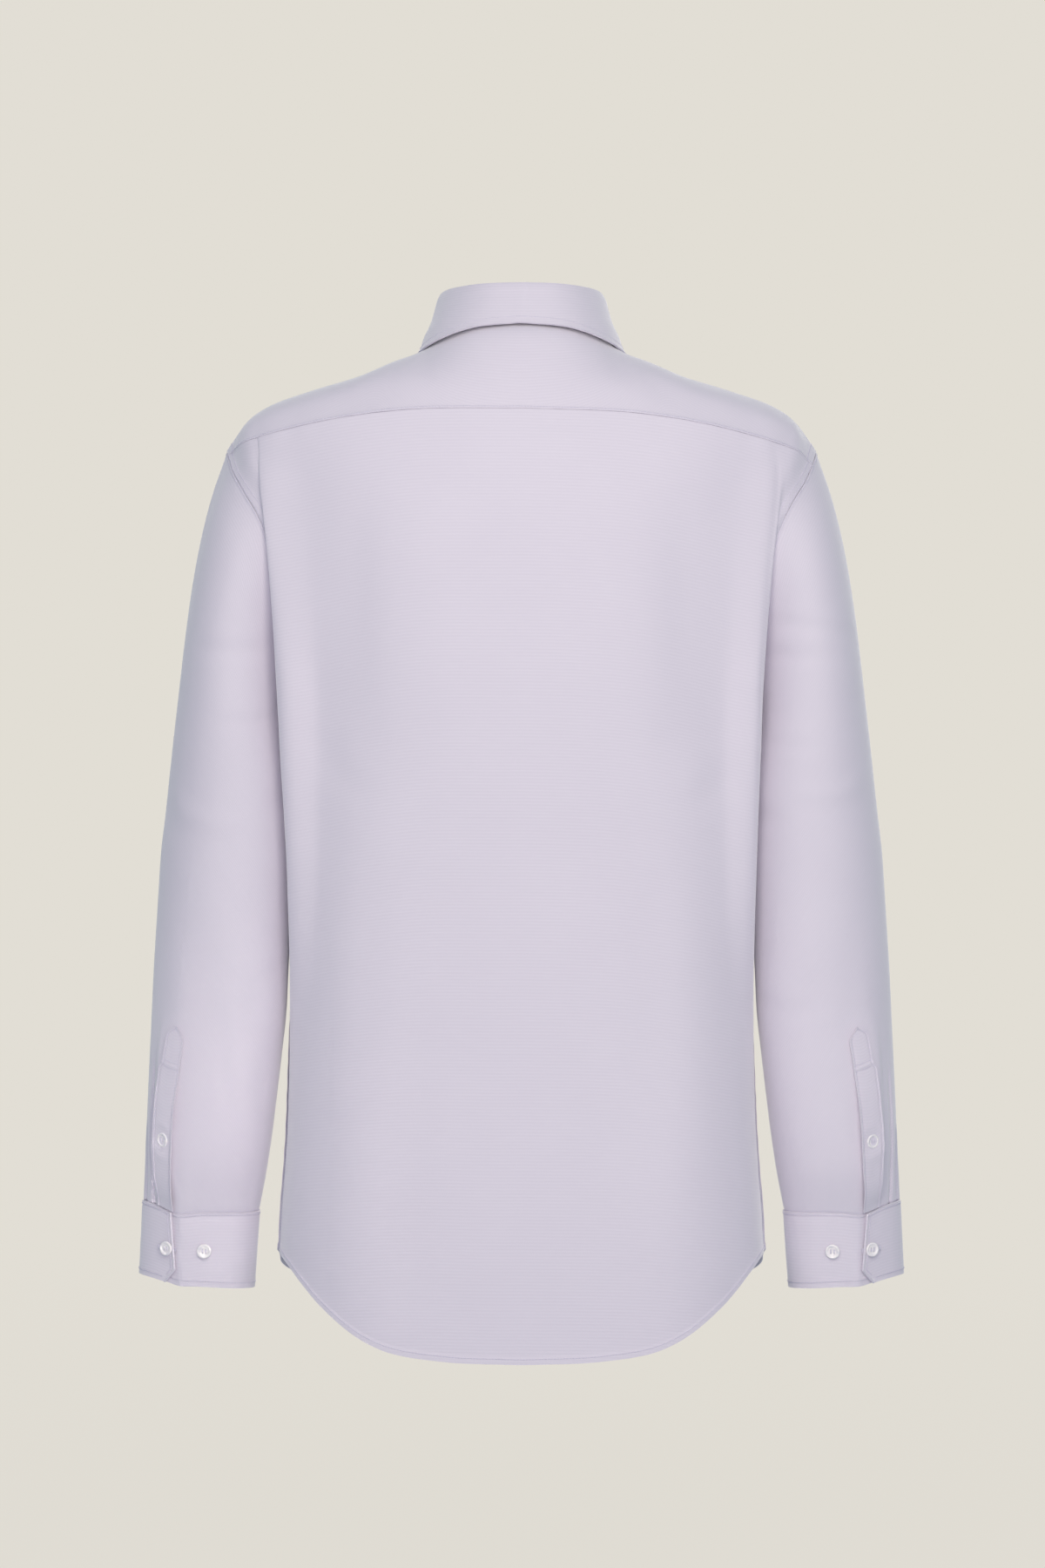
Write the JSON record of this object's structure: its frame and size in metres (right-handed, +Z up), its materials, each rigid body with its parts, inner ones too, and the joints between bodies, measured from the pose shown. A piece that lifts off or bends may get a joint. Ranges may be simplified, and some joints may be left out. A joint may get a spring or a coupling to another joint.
{
  "type": "long sleeve dress shirt",
  "caption": "Buttoned shirt with pointed collar, yoke, long sleeves, barrel cuffs and a curved hem, filled out as worn, with open neck, cuffs and hem.",
  "frame": {"origin": "midway between the two high points of the shoulders, where the shoulder lines meet the neck: where the wearer holds the shirt up", "axes": "+Z up, +Y the way the wearer faces, +X to the wearer's right"},
  "size_m": [0.5932, 0.2488, 0.806],
  "materials": {
    "cloth": "pale lavender fine cotton poplin, matt",
    "button": "white pearly four-hole shirt buttons"
  },
  "bodies": {
    "root": {"back": "cloth", "yoke": "cloth", "front_left": "cloth", "front_right": "cloth", "front_band": "cloth", "collar_stand": "cloth", "collar_leaf": "cloth", "sleeve_left": "cloth", "sleeve_right": "cloth", "gauntlet_left": "cloth", "gauntlet_right": "cloth", "cuff_left": "cloth", "cuff_right": "cloth", "button_front_1": "button", "button_front_2": "button", "button_front_3": "button", "button_front_4": "button", "button_front_5": "button", "button_front_6": "button", "button_stand": "button", "button_gauntlet_left": "button", "button_cuff_fastened_left": "button", "button_cuff_free_left": "button", "button_gauntlet_right": "button", "button_cuff_fastened_right": "button", "button_cuff_free_right": "button"}
  },
  "joints": []
}
